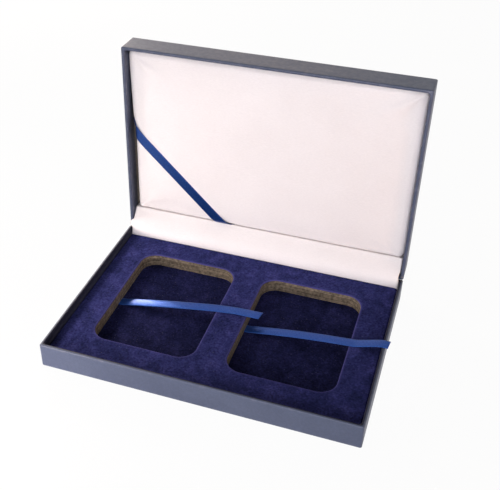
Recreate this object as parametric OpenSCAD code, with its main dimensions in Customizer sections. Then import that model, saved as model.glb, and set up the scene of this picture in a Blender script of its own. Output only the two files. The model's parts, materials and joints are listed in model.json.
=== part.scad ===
// Two-well coin display case: a shallow hinged box of covered board.
// The base holds a velvet platform with two wells, the lid a padded satin panel.
// Frame: X to the right, Y to the back, Z up, origin under the middle of the base.
// The lid is drawn standing open, as it is shown on a shelf.

/* [Case] */
// Outside width of base and lid
case_w = 184; // [176:1:240]
// Outside depth of base and lid, front to back
case_d = 128; // [122:1:180]
// Height of the base up to its rim
base_h = 15.5; // [14:0.5:30]
// Height of the lid from its rim to its top
lid_h = 17; // [15.5:0.5:30]
// Thickness of the grey board under the covering
board_t = 1.2; // [0.8:0.1:2]
// Thickness of the leatherette covering
wrap_t = 0.4; // [0.2:0.05:0.6]
// How far the covering is turned in below the rim, on the inside
turn_in = 9; // [4:0.5:11]
// Radius of the outside upright corners
corner_r = 1; // [0.6:0.1:3]
// Radius of the upright corners inside the rim
inside_r = 1.6; // [0.4:0.1:1.8]
// Radius of the covering where it folds round the rims and the lower edges
fold_r = 0.7; // [0.3:0.1:0.9]
// Gap between the two rims when the lid is shut
rim_gap = 0.1; // [0.05:0.05:0.5]
// Angle at which the lid stands open
open_angle = 91; // [60:1:92]

/* [Platform] */
// Thickness of one of the four boards that the platform is glued up from
layer_t = 1.9; // [1.5:0.05:2.2]
// Thickness of the velvet
velvet_t = 0.5; // [0.3:0.05:0.8]
// Thickness of the card under the velvet floor of the wells
floor_card_t = 0.4; // [0.3:0.05:0.8]
// Clearance between the platform and the base's side and front walls
platform_gap = 0.4; // [0.2:0.1:1]
// Room behind the platform for the hinge and the lining
platform_setback = 2.8; // [2.4:0.1:5]
// Radius of the velvet over the platform's outer edges and upright corners
velvet_edge_r = 0.9; // [0.5:0.1:1.1]
// Radius of the velvet's cut edge at the wells
velvet_lip_r = 0.4; // [0.1:0.05:0.7]

/* [Wells] */
// Width of one well
well_w = 62.5; // [50:0.5:66]
// Length of one well, front to back
well_l = 85; // [60:0.5:96]
// Corner radius of a well
well_r = 10; // [3:0.5:20]
// Width of the bridge between the two wells
bridge_w = 18.5; // [10:0.5:24]

/* [Ribbons] */
// Width of the satin ribbons
ribbon_w = 6.3; // [4:0.1:10]
// Thickness of the satin ribbons
ribbon_t = 0.3; // [0.2:0.05:0.4]
// Length of ribbon glued under the platform
ribbon_tail = 8; // [4:0.5:12]
// Height that a pull ribbon arches above a straight ramp, as a share of the ramp
ribbon_arch = 0.35; // [0:0.05:0.6]
// How far the left pull ribbon runs past its well
left_free = 26.5; // [8:0.5:30]
// How far the right pull ribbon runs past the outside of the case
right_free = 2.5; // [1:0.5:10]
// Yaw of the left pull ribbon where it lies
left_yaw = 4.2; // [0:0.1:6]
// Distance of the certificate ribbon's middle line from the pad's lower left corner
certificate_reach = 62; // [30:1:70]

/* [Lid pad] */
// Height of the satin face below the lid's rim
pad_recess = 3.2; // [2:0.1:5]
// Radius of the pad's soft edges
pad_edge_r = 4; // [2:0.5:5]
// Gap between the pad and the lid's walls
pad_gap = 1; // [0.5:0.1:2]
// Distance from the lid's back face to the pad's lower edge
pad_start = 13; // [11:0.5:20]
// Thickness of the satin
satin_t = 0.3; // [0.2:0.05:0.5]
// Thickness of the card that stiffens the pad
pad_card_t = 1.5; // [0.8:0.1:2]

/* [Hinge] */
// Thickness of the hinge leaves
leaf_t = 0.4; // [0.3:0.05:0.5]
// Height of each hinge leaf from the pin
leaf_h = 9.5; // [7:0.5:10]
// Diameter of the hinge pin
pin_d = 1.3; // [1:0.1:1.5]
// Radial clearance of the pin in its knuckles
pin_clear = 0.05; // [0.03:0.01:0.08]
// Number of knuckles, shared out between the two leaves
knuckles = 17; // [9:2:25]
// Gap between neighbouring knuckles
knuckle_gap = 0.3; // [0.2:0.1:0.6]
// Distance from the hinge's ends to the outside of the case
hinge_inset = 5; // [3:0.5:20]
// Angle at which the two back walls meet and stop the lid
stop_angle = 92.5; // [92.5:0.5:96]
// Number of rivets in each leaf
rivets = 6; // [3:1:8]
// Diameter of the rivet shanks
rivet_d = 1.6; // [1.2:0.1:2]
// Diameter of the rivet heads
rivet_head_d = 3.2; // [2.6:0.1:4]
// Height of the rivet heads
rivet_head_h = 0.5; // [0.3:0.05:0.6]

/* [Hidden] */

$fn = 48;
eps = 0.01;
// Gap left between a thin piece and what it lies on
contact = 0.05;
// How far a cut runs past what it cuts
past = 1;
board_layers = 4;

// Walls
wall_t = board_t + 2 * wrap_t;
inner_w = case_w - 2 * wall_t;
inner_d = case_d - 2 * wall_t;
floor_z = wrap_t + board_t;
// The folds are no rounder than their corners and walls allow
edge_r = min(fold_r, corner_r - contact);
rim_r = min(fold_r, wall_t / 2 - contact);

// Heights inside the base
velvet_floor_z = floor_z + floor_card_t + velvet_t;
boards_top_z = velvet_floor_z + board_layers * layer_t;
platform_top_z = boards_top_z + velvet_t;

// Platform outline: it stops short of the back wall
platform_w = inner_w - 2 * platform_gap;
platform_front_y = -inner_d / 2 + platform_gap;
platform_back_y = inner_d / 2 - platform_setback;
platform_d = platform_back_y - platform_front_y;
platform_mid_y = (platform_front_y + platform_back_y) / 2;
well_x = (well_w + bridge_w) / 2;

// Hinge: the leaves lie on the inner faces of the back walls, the knuckles over their lowered rims
knuckle_r = pin_d / 2 + pin_clear + leaf_t;
leaf_y = inner_d / 2 - leaf_t;
axis_y = leaf_y + knuckle_r;
axis_z = base_h + rim_gap / 2;
axis_inset = case_d / 2 - axis_y;
rim_drop = axis_inset * tan(stop_angle / 2);
drop_y = axis_y - knuckle_r;
hinge_len = case_w - 2 * hinge_inset;
knuckle_pitch = hinge_len / knuckles;
rivet_pitch = hinge_len / rivets;
rivet_level = 0.62;
rivet_z = axis_z - leaf_h * rivet_level;
rivet_clear = 0.05;
rivet_reach = leaf_t + wrap_t + board_t;

// Lid, drawn shut and then swung open; v is the depth below the lid's rim
lid_rim_z = base_h + rim_gap;
lid_ceiling_v = lid_h - wrap_t - board_t;
pad_w = inner_w - 2 * pad_gap;
pad_front_y = -inner_d / 2 + pad_gap;
pad_back_y = case_d / 2 - pad_start;
pad_l = pad_back_y - pad_front_y;
pad_mid_y = (pad_front_y + pad_back_y) / 2;

// Lining: a satin strip from behind the platform to the pad's lower edge
lining_gap = 0.15;
lining_w = inner_w - 1;
lining_bulge = 2.2;
lining_rise = 5;
lining_tuck_down = 6;
lining_tuck_up = 4;
lining_steps = 16;
ear_left = 2.1;
ear_right = 0.6;
ear_clear = 0.2;

// Certificate ribbon: its slope across the pad and how far its ends tuck down the sides
certificate_angle = 44;
certificate_tuck = 3;

// ---- shared shapes ----

// Rounded rectangle with true arcs, centred
module rounded_rect(w, d, r) {
    square([w - 2 * r, d], center = true);
    square([w, d - 2 * r], center = true);
    for (sx = [-1, 1], sy = [-1, 1])
        translate([sx * (w / 2 - r), sy * (d / 2 - r)]) circle(r);
}

// Upright block with rounded corners, standing on z
module block(w, d, r, z0, z1) {
    translate([0, 0, z0]) linear_extrude(z1 - z0) rounded_rect(w, d, r);
}

// Block of height h with upright corners of radius r and all other edges rounded by e
module soft_block(w, d, h, r, e) {
    rotate([90, 0, 90]) linear_extrude(w - 2 * r, center = true)
        translate([0, h / 2]) rounded_rect(d, h, e);
    rotate([90, 0, 0]) linear_extrude(d - 2 * r, center = true)
        translate([0, h / 2]) rounded_rect(w, h, e);
    for (sx = [-1, 1], sy = [-1, 1])
        translate([sx * (w / 2 - r), sy * (d / 2 - r), 0]) rotate_extrude() intersection() {
            translate([0, h / 2]) rounded_rect(2 * r, h, e);
            square([r, h]);
        }
}

// What is cut away to round the upper edge of a rounded rectangle's hole by e; z = 0 is the edge's level
module edge_cut(w, d, r, e) {
    for (s = [0, 1]) {
        mirror([0, s, 0]) translate([0, d / 2, 0]) rotate([90, 0, 90])
            linear_extrude(w - 2 * r, center = true) edge_profile(e);
        mirror([s, 0, 0]) translate([w / 2, 0, 0]) rotate([90, 0, 0])
            linear_extrude(d - 2 * r, center = true) edge_profile(e);
    }
    for (sx = [-1, 1], sy = [-1, 1])
        translate([sx * (w / 2 - r), sy * (d / 2 - r), 0]) rotate_extrude() translate([r, 0]) edge_profile(e);
}

// The corner that lies outside a quarter circle of radius e, drawn outwards from the hole
module edge_profile(e) {
    difference() {
        translate([-eps, -e]) square([e + eps, e + past]);
        translate([e, -e]) circle(e);
    }
}

// Cuts the rim down along the back wall, where the hinge runs, from height z up
module back_rim_cut(z) {
    translate([-case_w, drop_y, z]) cube([2 * case_w, case_d, 2 * base_h + 2 * lid_h]);
}

// One board tray of height h: floor and four walls, its back rim cut down
module board_tray(h) {
    difference() {
        block(case_w - 2 * wrap_t, case_d - 2 * wrap_t, corner_r - wrap_t + eps, wrap_t, h - wrap_t);
        translate([-inner_w / 2 - wrap_t, -inner_d / 2 - wrap_t, floor_z])
            cube([inner_w + 2 * wrap_t, inner_d + 2 * wrap_t, h]);
        back_rim_cut(h - rim_drop - wrap_t);
    }
}

// The covering of one tray: outside, over the rim and turned in on the inside
module tray_wrap(h) {
    difference() {
        soft_block(case_w, case_d, h, corner_r, edge_r);
        block(inner_w, inner_d, inside_r, floor_z, h + past);
        translate([0, 0, h]) edge_cut(inner_w, inner_d, inside_r, rim_r);
        translate([-inner_w / 2 - wrap_t, -inner_d / 2 - wrap_t, floor_z])
            cube([inner_w + 2 * wrap_t, inner_d + 2 * wrap_t, h - turn_in - floor_z]);
        back_rim_cut(h - rim_drop);
        board_tray(h);
    }
}

// Swings what is drawn shut about the hinge pin to the open position
module swing_open() {
    translate([0, axis_y, axis_z]) rotate([-open_angle, 0, 0])
        translate([0, -axis_y, -axis_z]) children();
}

// Turns a tray over to make the lid, its rim lying on the base's
module as_lid() {
    swing_open() translate([0, 0, lid_rim_z + lid_h]) mirror([0, 0, 1]) children();
}

// Places a part drawn for the lid with z as the depth v below the rim
module in_lid() {
    swing_open() translate([0, 0, lid_rim_z]) children();
}

// ---- base ----

module base_board_tray() {
    color("#8c8377") difference() {
        board_tray(base_h);
        base_rivet_holes();
    }
}

module base_wrap() {
    color("#23263f") difference() {
        tray_wrap(base_h);
        base_rivet_holes();
    }
}

module floor_panel(z0, t) {
    translate([-platform_w / 2, platform_front_y, z0]) cube([platform_w, platform_d, t]);
}

module floor_card() {
    color("#9a9184") floor_panel(floor_z, floor_card_t);
}

module floor_velvet() {
    color("#1a1d45") floor_panel(floor_z + floor_card_t, velvet_t);
}

// Both wells, cut right through between two heights
module wells(z0, z1) {
    for (side = [-1, 1])
        translate([side * well_x, 0, z0]) linear_extrude(z1 - z0) rounded_rect(well_w, well_l, well_r);
}

// One of the boards that the platform is glued up from, counted from the bottom
module platform_board(i) {
    z0 = velvet_floor_z + (i - 1) * layer_t;
    difference() {
        translate([-platform_w / 2 + velvet_t, platform_front_y + velvet_t, z0])
            cube([platform_w - 2 * velvet_t, platform_d - 2 * velvet_t, layer_t]);
        wells(z0 - past, z0 + layer_t + past);
        if (i == 1) {
            pull_place(-1) tail_groove();
            pull_place(1) tail_groove();
        }
    }
}

module platform_board_1() { color("#7d7262") platform_board(1); }
module platform_board_2() { color("#6f6556") platform_board(2); }
module platform_board_3() { color("#7d7262") platform_board(3); }
module platform_board_4() { color("#6f6556") platform_board(4); }

// Velvet stretched over the boards and down their outer edges, cut out at the wells
module platform_velvet() {
    color("#2a2c66") difference() {
        translate([0, platform_mid_y, velvet_floor_z - past])
            soft_block(platform_w, platform_d, platform_top_z - velvet_floor_z + past,
                       velvet_edge_r + contact, velvet_edge_r);
        translate([-platform_w, -case_d, velvet_floor_z - 2 * past])
            cube([2 * platform_w, 2 * case_d, 2 * past]);
        translate([-platform_w / 2 + velvet_t, platform_front_y + velvet_t, velvet_floor_z - past])
            cube([platform_w - 2 * velvet_t, platform_d - 2 * velvet_t, board_layers * layer_t + past]);
        wells(velvet_floor_z, platform_top_z + past);
        for (side = [-1, 1])
            translate([side * well_x, 0, platform_top_z])
                edge_cut(well_w, well_l, well_r, min(velvet_lip_r, velvet_t - contact));
    }
}

// ---- pull ribbons ----

// Each pull ribbon lies under the platform's left edge of its well, climbs across the well
// and runs on over the far edge. s is the distance from the well's left wall.
ramp_start = 2;
ramp_steps = 14;
ribbon_lift = 0.2;
ribbon_floor = velvet_floor_z + contact;
ribbon_over = platform_top_z + ribbon_lift;
groove_gap = 0.3;
right_shift = 1.5;
right_yaw = -0.8;
// The right ribbon lies on the velvet this far past its well, then rises to the rim
right_rest = 3;
rim_lead = 1;
rim_s = inner_w / 2 - (well_x - well_w / 2);
end_s = case_w / 2 + right_free - (well_x - well_w / 2);

function ramp(t) = t + ribbon_arch * t * (1 - t);
function climb() = [
    for (i = [0 : ramp_steps])
        let (t = i / ramp_steps)
            [ramp_start + (well_w - ramp_start) * t, ribbon_floor + (ribbon_over - ribbon_floor) * ramp(t)]
];
function left_run() = concat(
    [[-ribbon_tail, ribbon_floor]], climb(),
    [[well_w + left_free, ribbon_over]]
);
function right_run() = concat(
    [[-ribbon_tail, ribbon_floor]], climb(),
    [[well_w + right_rest, ribbon_over + ribbon_t],
     [rim_s - rim_lead, base_h + ribbon_lift],
     [end_s, base_h + ribbon_lift]]
);

// Places what is drawn from a well's left wall, the origin, at that well
module pull_place(side) {
    translate([side * well_x - well_w / 2, side > 0 ? right_shift : 0, 0])
        rotate([0, 0, side > 0 ? right_yaw : left_yaw]) children();
}

// A ribbon of even thickness along a run of points, lying across Y
module ribbon(run) {
    count = len(run);
    rotate([90, 0, 0]) linear_extrude(ribbon_w, center = true)
        polygon(concat(run, [for (i = [count - 1 : -1 : 0]) run[i] + [0, ribbon_t]]));
}

// Room in the lowest board for the glued tail of a pull ribbon
module tail_groove() {
    translate([-ribbon_tail - groove_gap, -ribbon_w / 2 - groove_gap, velvet_floor_z - past])
        cube([ribbon_tail + ramp_start, ribbon_w + 2 * groove_gap, past + ribbon_t + 2 * contact]);
}

module pull_ribbon_left() {
    color("#3a63c0") pull_place(-1) ribbon(left_run());
}

module pull_ribbon_right() {
    color("#3a63c0") pull_place(1) ribbon(right_run());
}

// ---- hinge ----

// Half of a strip hinge, drawn below the pin: a leaf with every second knuckle
module hinge_half(first) {
    difference() {
        union() {
            translate([-hinge_len / 2, leaf_y, axis_z - leaf_h])
                cube([hinge_len, leaf_t, leaf_h - knuckle_r - knuckle_gap]);
            for (i = [first : 2 : knuckles - 1])
                translate([-hinge_len / 2 + (i + 0.5) * knuckle_pitch, 0, 0]) {
                    translate([(knuckle_gap - knuckle_pitch) / 2, leaf_y, axis_z - leaf_h])
                        cube([knuckle_pitch - knuckle_gap, leaf_t, leaf_h]);
                    translate([0, axis_y, axis_z]) rotate([0, 90, 0])
                        cylinder(h = knuckle_pitch - knuckle_gap, r = knuckle_r, center = true);
                }
        }
        translate([0, axis_y, axis_z]) rotate([0, 90, 0])
            cylinder(h = hinge_len + past, r = pin_d / 2 + pin_clear, center = true);
        base_rivet_holes();
    }
}

// Turns what is drawn below the pin into its twin above the pin, in the open lid
module lid_side() {
    swing_open() translate([0, 0, 2 * axis_z]) mirror([0, 0, 1]) children();
}

module along_rivets() {
    for (i = [0 : rivets - 1])
        translate([-hinge_len / 2 + (i + 0.5) * rivet_pitch, 0, rivet_z]) rotate([-90, 0, 0]) children();
}

module base_rivet_holes() {
    along_rivets() translate([0, 0, leaf_y - past])
        cylinder(h = rivet_reach + past, r = rivet_d / 2 + rivet_clear);
}

// Rivets through the leaf and the board wall, flush with the board under the covering
module hinge_rivets() {
    along_rivets() {
        translate([0, 0, leaf_y - rivet_head_h]) cylinder(h = rivet_head_h, d = rivet_head_d);
        translate([0, 0, leaf_y]) cylinder(h = rivet_reach - contact, d = rivet_d);
    }
}

module base_hinge_leaf() {
    color("#b8b4a8") hinge_half(0);
}

module lid_hinge_leaf() {
    color("#b8b4a8") lid_side() hinge_half(1);
}

module base_hinge_rivets() {
    color("#c9c5ba") hinge_rivets();
}

module lid_hinge_rivets() {
    color("#c9c5ba") lid_side() hinge_rivets();
}

module hinge_pin() {
    color("#d0cdc4") translate([0, axis_y, axis_z]) rotate([0, 90, 0])
        cylinder(h = hinge_len, d = pin_d, center = true);
}

// ---- lid ----

module lid_board_tray() {
    color("#8c8377") difference() {
        as_lid() board_tray(lid_h);
        lid_side() base_rivet_holes();
    }
}

module lid_wrap() {
    color("#23263f") difference() {
        as_lid() tray_wrap(lid_h);
        lid_side() base_rivet_holes();
    }
}

// The pad's soft form, grown by g all round: square sides, rounded face edges and corners
module pad_form(g, v_end) {
    r = pad_edge_r + g;
    w = pad_w / 2 + g - r;
    l = pad_l / 2 + g - r;
    v0 = pad_recess - g;
    translate([0, pad_mid_y, 0]) intersection() {
        union() {
            block(2 * (w + r), 2 * (l + r), r, v0 + r, v_end);
            translate([-w, -l, v0]) cube([2 * w, 2 * l, r]);
            for (s = [-1, 1]) {
                translate([0, s * l, v0 + r]) rotate([0, 90, 0]) cylinder(h = 2 * w, r = r, center = true);
                translate([s * w, 0, v0 + r]) rotate([90, 0, 0]) cylinder(h = 2 * l, r = r, center = true);
                for (t = [-1, 1]) translate([s * w, t * l, v0 + r]) sphere(r);
            }
        }
        translate([-pad_w, -pad_l, v0]) cube([2 * pad_w, 2 * pad_l, v_end - v0]);
    }
}

module pad_card() {
    color("#c9c2b2") in_lid()
        translate([-pad_w / 2 + satin_t, pad_front_y + satin_t, lid_ceiling_v - pad_card_t])
            cube([pad_w - 2 * satin_t, pad_l - 2 * satin_t, pad_card_t]);
}

module pad_foam() {
    color("#e8e4d8") in_lid() pad_form(-satin_t, lid_ceiling_v - pad_card_t);
}

// Satin drawn over the foam and the card's edges
module pad_satin() {
    color("#f4ecea") in_lid() difference() {
        pad_form(0, lid_ceiling_v);
        pad_form(-satin_t, lid_ceiling_v - pad_card_t);
        translate([-pad_w / 2 + satin_t, pad_front_y + satin_t, lid_ceiling_v - pad_card_t - eps])
            cube([pad_w - 2 * satin_t, pad_l - 2 * satin_t, pad_card_t + past]);
    }
}

// Ribbon across the pad's lower left corner, holding a certificate, tucked down the sides
module certificate_ribbon() {
    tuck_v = pad_recess + pad_edge_r + certificate_tuck;
    color("#2c4ea6") in_lid() intersection() {
        difference() {
            pad_form(contact + ribbon_t, tuck_v);
            pad_form(contact, tuck_v + past);
        }
        translate([-pad_w / 2, pad_back_y, -pad_recess]) rotate([0, 0, certificate_angle])
            translate([-2 * pad_l, -certificate_reach * sin(certificate_angle) - ribbon_w / 2, 0])
                cube([4 * pad_l, ribbon_w, lid_h + pad_recess]);
    }
}

// ---- lining over the hinge ----

// A point of the lid at distance u from its back face and depth v, where it stands when open
function lid_point(u, v) =
    let (dy = axis_inset - u, dz = v + rim_gap / 2)
        [axis_y + dy * cos(open_angle) + dz * sin(open_angle),
         axis_z - dy * sin(open_angle) + dz * cos(open_angle)];

function bend(a, b, c, d, t) =
    a * pow(1 - t, 3) + b * 3 * t * pow(1 - t, 2) + c * 3 * t * t * (1 - t) + d * pow(t, 3);

lining_y = platform_back_y + lining_gap;
lining_foot = [lining_y, platform_top_z];
lining_u = pad_start - lining_gap - satin_t;
lining_head = lid_point(lining_u, pad_recess + pad_edge_r / 2);

function lining_run() = concat(
    [[lining_y, platform_top_z - lining_tuck_down]],
    [for (i = [0 : lining_steps])
        bend(lining_foot, lining_foot + [-lining_bulge / 4, lining_rise],
             lining_head + [-lining_bulge * 1.6, -lining_rise], lining_head, i / lining_steps)],
    [lid_point(lining_u, pad_recess + pad_edge_r + lining_tuck_up)]
);

// Unit normal of a run at one of its points, to the left of its course
function run_normal(run, i) =
    let (a = run[max(i - 1, 0)], b = run[min(i + 1, len(run) - 1)], d = (b - a) / norm(b - a))
        [-d[1], d[0]];

// A thin strip across the case, swept along a run of points in Y and Z
module cross_strip(run, w, t) {
    count = len(run);
    rotate([90, 0, 90]) linear_extrude(w, center = true)
        polygon(concat(run, [for (i = [count - 1 : -1 : 0]) run[i] - t * run_normal(run, i)]));
}

// The stretch of the lining that lies clear of both rims, above the base's and before the lid's
function ear_run() = [
    for (p = lining_run()) if (p[1] > base_h + ear_clear && p[0] < axis_y - satin_t - ear_clear) p
];

// Along the hinge the strip's ends widen into ears that lie over the rims, the left one more
module hinge_lining() {
    color("#f7f0ee") {
        cross_strip(lining_run(), lining_w, satin_t);
        translate([(ear_right - ear_left) / 2, 0, 0])
            cross_strip(ear_run(), lining_w + ear_left + ear_right, satin_t);
    }
}

// ---- assembly ----

base_board_tray();
base_wrap();
floor_card();
floor_velvet();
platform_board_1();
platform_board_2();
platform_board_3();
platform_board_4();
platform_velvet();
pull_ribbon_left();
pull_ribbon_right();
base_hinge_leaf();
base_hinge_rivets();
hinge_pin();
hinge_lining();
lid_board_tray();
lid_wrap();
lid_hinge_leaf();
lid_hinge_rivets();
pad_card();
pad_foam();
pad_satin();
certificate_ribbon();
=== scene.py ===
"""A two-well coin display case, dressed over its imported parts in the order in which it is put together."""
import json
import math

import bmesh
import bpy
import numpy as np
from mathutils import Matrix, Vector


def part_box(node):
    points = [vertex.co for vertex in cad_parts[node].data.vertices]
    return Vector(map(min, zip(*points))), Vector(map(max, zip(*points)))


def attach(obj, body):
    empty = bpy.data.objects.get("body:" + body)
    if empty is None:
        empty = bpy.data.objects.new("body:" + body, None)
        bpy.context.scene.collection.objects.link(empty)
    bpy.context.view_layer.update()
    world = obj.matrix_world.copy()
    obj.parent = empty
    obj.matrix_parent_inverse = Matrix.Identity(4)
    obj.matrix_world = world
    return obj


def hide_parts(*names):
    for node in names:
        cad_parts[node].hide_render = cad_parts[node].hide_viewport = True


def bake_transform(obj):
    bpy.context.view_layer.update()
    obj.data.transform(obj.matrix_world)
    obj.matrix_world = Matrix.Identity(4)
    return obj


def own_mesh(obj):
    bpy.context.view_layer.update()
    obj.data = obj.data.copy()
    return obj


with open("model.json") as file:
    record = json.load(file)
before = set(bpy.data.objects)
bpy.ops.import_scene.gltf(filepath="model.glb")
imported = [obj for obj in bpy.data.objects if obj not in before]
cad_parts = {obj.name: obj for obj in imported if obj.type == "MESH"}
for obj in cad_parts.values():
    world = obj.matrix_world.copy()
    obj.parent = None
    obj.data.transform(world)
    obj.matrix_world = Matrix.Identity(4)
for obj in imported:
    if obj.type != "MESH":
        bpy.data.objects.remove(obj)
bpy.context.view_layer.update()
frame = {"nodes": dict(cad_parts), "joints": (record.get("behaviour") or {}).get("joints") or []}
scene = bpy.context.scene
mm = 0.001


# ---- camera ----
# The photograph looks down on the open case from the front right. It was cropped unevenly, so the lens
# is shifted a little to put the case where it stands in the picture. The two angles are in degrees.
camera_down = 34.5
camera_turn = 19.31
camera_data = bpy.data.cameras.new("camera")
camera_data.sensor_width = 36
camera_data.lens = 59.93
camera_data.shift_x = 0.076
camera_data.shift_y = -0.042
camera = bpy.data.objects.new("camera", camera_data)
camera.location = (0.1143, -0.359, 0.336)
camera.rotation_euler = (math.radians(90 - camera_down), 0, math.radians(camera_turn))
scene.collection.objects.link(camera)
scene.camera = camera
scene.view_settings.view_transform = "Standard"


# ---- table and lamps ----
# The case stands on a white table. Three small lamps on the left light the inside and the front, and two in
# front on the right fill. Warm ones behind catch the lid's upper edge and the ribbons, and a weak one the
# right side. The camera sees the table as plain white, with a faint shadow.
table_size = 6.0
table_grey = 0.90
white_share = 0.96


def white_to_the_eye(tree, lit, share):
    """Mixes a lit shader with plain white, by this share, for what the camera, gloss and glass see."""
    path = tree.nodes.new("ShaderNodeLightPath")
    seen = path.outputs["Is Camera Ray"]
    for ray in ("Is Glossy Ray", "Is Transmission Ray"):
        either = tree.nodes.new("ShaderNodeMath")
        either.operation = "MAXIMUM"
        tree.links.new(seen, either.inputs[0])
        tree.links.new(path.outputs[ray], either.inputs[1])
        seen = either.outputs[0]
    part = tree.nodes.new("ShaderNodeMath")
    part.operation = "MULTIPLY"
    part.inputs[1].default_value = share
    tree.links.new(seen, part.inputs[0])
    white = tree.nodes.new("ShaderNodeBackground" if lit.type == "BACKGROUND" else "ShaderNodeEmission")
    white.inputs["Color"].default_value = (1, 1, 1, 1)
    mix = tree.nodes.new("ShaderNodeMixShader")
    tree.links.new(part.outputs[0], mix.inputs[0])
    tree.links.new(lit.outputs[0], mix.inputs[1])
    tree.links.new(white.outputs[0], mix.inputs[2])
    return mix


table_white = bpy.data.materials.new("table_white")
table_white.use_nodes = True
table_tree = table_white.node_tree
table_tree.nodes.clear()
matt = table_tree.nodes.new("ShaderNodeBsdfDiffuse")
matt.inputs["Color"].default_value = (table_grey, table_grey, table_grey, 1)
table_look = white_to_the_eye(table_tree, matt, white_share)
table_out = table_tree.nodes.new("ShaderNodeOutputMaterial")
table_tree.links.new(table_look.outputs[0], table_out.inputs["Surface"])
table_mesh = bpy.data.meshes.new("table")
table_corners = [(x * table_size / 2, y * table_size / 2, 0) for x, y in ((-1, -1), (1, -1), (1, 1), (-1, 1))]
table_mesh.from_pydata(table_corners, [], [(0, 1, 2, 3)])
table_mesh.materials.append(table_white)
table = bpy.data.objects.new("table", table_mesh)
scene.collection.objects.link(table)

world = bpy.data.worlds.new("studio")
scene.world = world
world.use_nodes = True
world.node_tree.nodes.clear()
sky = world.node_tree.nodes.new("ShaderNodeBackground")
sky.inputs["Color"].default_value = (0.96, 0.98, 1.0, 1)
sky.inputs["Strength"].default_value = 0.04
sky_look = white_to_the_eye(world.node_tree, sky, 1.0)
world_out = world.node_tree.nodes.new("ShaderNodeOutputWorld")
world.node_tree.links.new(sky_look.outputs[0], world_out.inputs["Surface"])


def lamp(name, place, size, power, colour, aim=(0, 0, 0.04)):
    """A square soft lamp of this size, at a place and turned towards its aim."""
    data = bpy.data.lights.new(name, "AREA")
    data.size = size
    data.energy = power
    data.color = colour
    light = bpy.data.objects.new(name, data)
    light.location = place
    light.rotation_euler = (Vector(place) - Vector(aim)).to_track_quat("Z", "Y").to_euler()
    light.visible_camera = False
    scene.collection.objects.link(light)


lamp("key", (-0.20, -0.22, 0.14), 0.08, 0.08, (1.0, 0.91, 0.86))
lamp("side", (-0.30, 0.03, 0.19), 0.08, 0.34, (1.0, 0.93, 0.90))
lamp("low", (-0.17, -0.21, 0.04), 0.06, 0.88, (1.0, 0.87, 0.80), aim=(-0.08, -0.12, -0.30))
lamp("fill", (0.14, -1.12, 0.24), 0.80, 10.9, (0.95, 0.92, 0.98))
lamp("near_fill", (0.25, -0.35, 0.10), 0.12, 0.18, (1.0, 0.94, 0.92), aim=(0.06, 0.06, 0.09))
lamp("behind", (-0.58, 0.645, 0.39), 0.24, 4.3, (1.0, 0.86, 0.77))
lamp("above", (-0.20, 0.79, 0.457), 0.25, 0.26, (1.0, 0.72, 0.58), aim=(-0.03, 0.08, 0.145))
lamp("right_side", (0.46, -0.05, 0.018), 0.10, 0.60, (1.0, 0.58, 0.38), aim=(0.09, 0, 0.01))


# ---- leatherette coverings ----
# Navy leatherette is glued round each board tray: under it, up the walls, over the rims and down inside.
# The fold rounds the rims, and the covering's pull rounds the corners. Both are painted paler, partly as wear
# from handling and partly as painted highlight, and what is turned in inside the base is painted darker as
# shade.
base_low, base_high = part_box("base_wrap")
case_w = base_high.x - base_low.x
case_d = base_high.y - base_low.y
base_h = base_high.z
lid_h = 17 * mm
rim_gap = 0.1 * mm
wall_t = 2 * mm
wrap_t = 0.4 * mm
turn_in = 9 * mm
rim_drop = 1.36 * mm
rim_drop_y = case_d / 2 - 2.4 * mm
end_drop = 0.92 * mm
end_drop_x = case_w / 2 - 2.9 * mm
lid_rim_z = base_h + rim_gap
axis_y, axis_z = frame["joints"][0]["pos_m"][1:]
open_angle = math.radians(max(frame["joints"][0]["range_deg"]))


def new_material(name, **values):
    """A material whose Principled shader has these values on its own sockets."""
    material = bpy.data.materials.new(name)
    material.use_nodes = True
    for socket, value in values.items():
        shader_of(material).inputs[socket.replace("_", " ")].default_value = value
    return material


def shader_of(material):
    return material.node_tree.nodes["Principled BSDF"]


def add(material, kind, inputs=None, **settings):
    """One node of this kind, with values on its inputs and settings on the node itself."""
    node = material.node_tree.nodes.new("ShaderNode" + kind)
    for setting, value in settings.items():
        setattr(node, setting, value)
    for socket, value in (inputs or {}).items():
        node.inputs[socket].default_value = value
    return node


def wire(material, source, output, target, socket):
    """Joins one node's output to another's input."""
    material.node_tree.links.new(source.outputs[output], target.inputs[socket])


def noise(material, scale, detail=3.0, stretch=(1, 1, 1), distortion=0.0):
    """Noise in the piece's own metres: scale is its waves in a metre, and stretch a factor on each axis."""
    place = add(material, "TexCoord")
    mapping = add(material, "Mapping", {"Scale": stretch})
    cloud = add(material, "TexNoise", {"Scale": scale, "Detail": detail, "Distortion": distortion})
    wire(material, place, "Object", mapping, "Vector")
    wire(material, mapping, "Vector", cloud, "Vector")
    return cloud


def grey(level):
    return (level, level, level)


def ramp(material, source, output, stops):
    """A colour ramp over a node's output; stops are pairs of a place and a colour."""
    band = add(material, "ValToRGB")
    elements = band.color_ramp.elements
    while len(elements) < len(stops):
        elements.new(0.5)
    for element, (place, colour) in zip(elements, stops):
        element.position = place
        element.color = (*colour, 1)
    wire(material, source, output, band, "Fac")
    return band


def mixed(material, first, second, mode="MULTIPLY", factor=1.0):
    """Mixes two colours, each a node and its output or a plain colour; factor may be a node too.

    The Mix node has a set of sockets for each kind of data: 0, 6, 7 and output 2 are those for colours."""
    mix = add(material, "Mix", data_type="RGBA", blend_type=mode)
    for socket, value in ((0, factor), (6, first), (7, second)):
        if isinstance(value, tuple) and not isinstance(value[0], float):
            wire(material, value[0], value[1], mix, socket)
        else:
            mix.inputs[socket].default_value = (*value, 1) if isinstance(value, tuple) else value
    return mix, 2


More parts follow.
